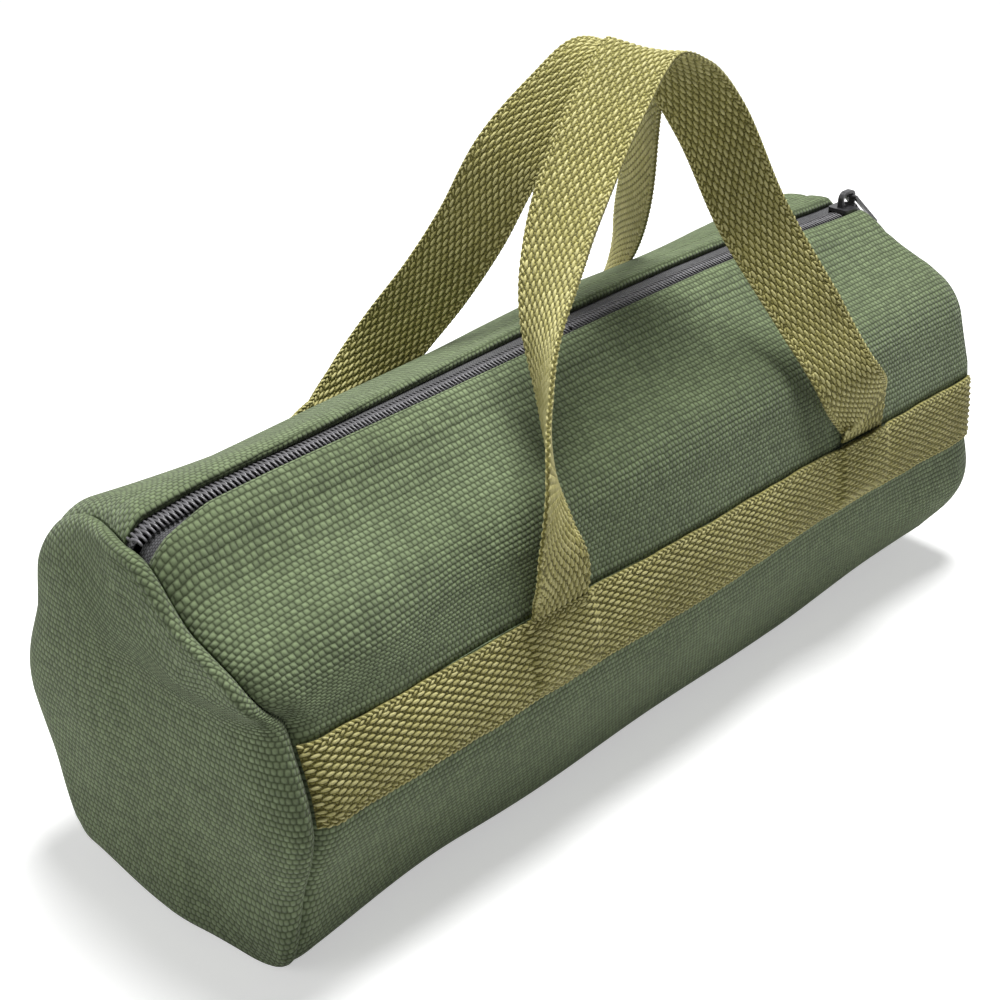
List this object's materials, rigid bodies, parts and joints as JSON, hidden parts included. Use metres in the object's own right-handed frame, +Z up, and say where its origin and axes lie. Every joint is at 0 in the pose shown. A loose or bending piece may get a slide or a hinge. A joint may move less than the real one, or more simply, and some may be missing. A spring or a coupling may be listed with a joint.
{
  "type": "zippered tool bag",
  "caption": "Small barrel-shaped canvas tool bag with a zipped top, webbing strips along its sides and a pair of webbing carrying handles.",
  "frame": {"origin": "centre of the flat base, on the surface the bag stands on", "axes": "+X along the bag towards the end where the zipper closes, +Y towards the rear side, +Z up"},
  "size_m": [0.3705, 0.1394, 0.2298],
  "materials": {
    "canvas": "matte",
    "webbing": "matte",
    "zipper_tape": "matte",
    "zipper_coil": "satin",
    "slider": "satin"
  },
  "bodies": {
    "bag_shell": {"body_wrap": "canvas", "left_end_panel": "canvas", "right_end_panel": "canvas", "front_side_strip": "webbing", "rear_side_strip": "webbing", "front_left_strap_end": "webbing", "front_right_strap_end": "webbing", "rear_left_strap_end": "webbing", "rear_right_strap_end": "webbing"},
    "front_lip": {"front_upper_panel": "canvas", "front_zipper_tape": "zipper_tape", "front_zipper_coil": "zipper_coil"},
    "rear_lip": {"rear_upper_panel": "canvas", "rear_zipper_tape": "zipper_tape", "rear_zipper_coil": "zipper_coil"},
    "zip_slider": {"slider_body": "slider", "slider_bail": "slider"},
    "pull": {"pull_tab": "slider"},
    "front_handle": {"front_handle_strap": "webbing"},
    "rear_handle": {"rear_handle_strap": "webbing"}
  },
  "joints": [
    {"name": "front_lip_open", "type": "hinge", "parent": "bag_shell", "child": "front_lip", "pos_m": [0, -0.0619, 0.0833], "axis": [1, 0, 0], "range_deg": [0, 40], "deforming": ["front_zipper_tape", "front_zipper_coil"]},
    {"name": "rear_lip_open", "type": "hinge", "parent": "bag_shell", "child": "rear_lip", "pos_m": [0, 0.0619, 0.0833], "axis": [-1, 0, 0], "range_deg": [0, 40], "deforming": ["rear_zipper_tape", "rear_zipper_coil"]},
    {"name": "zip_slide", "type": "slide", "parent": "bag_shell", "child": "zip_slider", "axis": [-1, 0, 0], "range_m": [0, 0.32]},
    {"name": "pull_swing", "type": "hinge", "parent": "zip_slider", "child": "pull", "pos_m": [0.1687, 0, 0.1416], "axis": [0, -1, 0], "range_deg": [0, 220]},
    {"name": "front_handle_swing", "type": "hinge", "parent": "front_lip", "child": "front_handle", "pos_m": [0, -0.0619, 0.0833], "axis": [1, 0, 0], "range_deg": [0, 110]},
    {"name": "rear_handle_swing", "type": "hinge", "parent": "rear_lip", "child": "rear_handle", "pos_m": [0, 0.0619, 0.0833], "axis": [-1, 0, 0], "range_deg": [0, 110]}
  ],
  "couplings": [
    {"joint": "rear_lip_open", "follows": "front_lip_open", "ratio": 1},
    {"joint": "zip_slide", "follows": "front_lip_open", "m_per_rad": 0.4583}
  ]
}
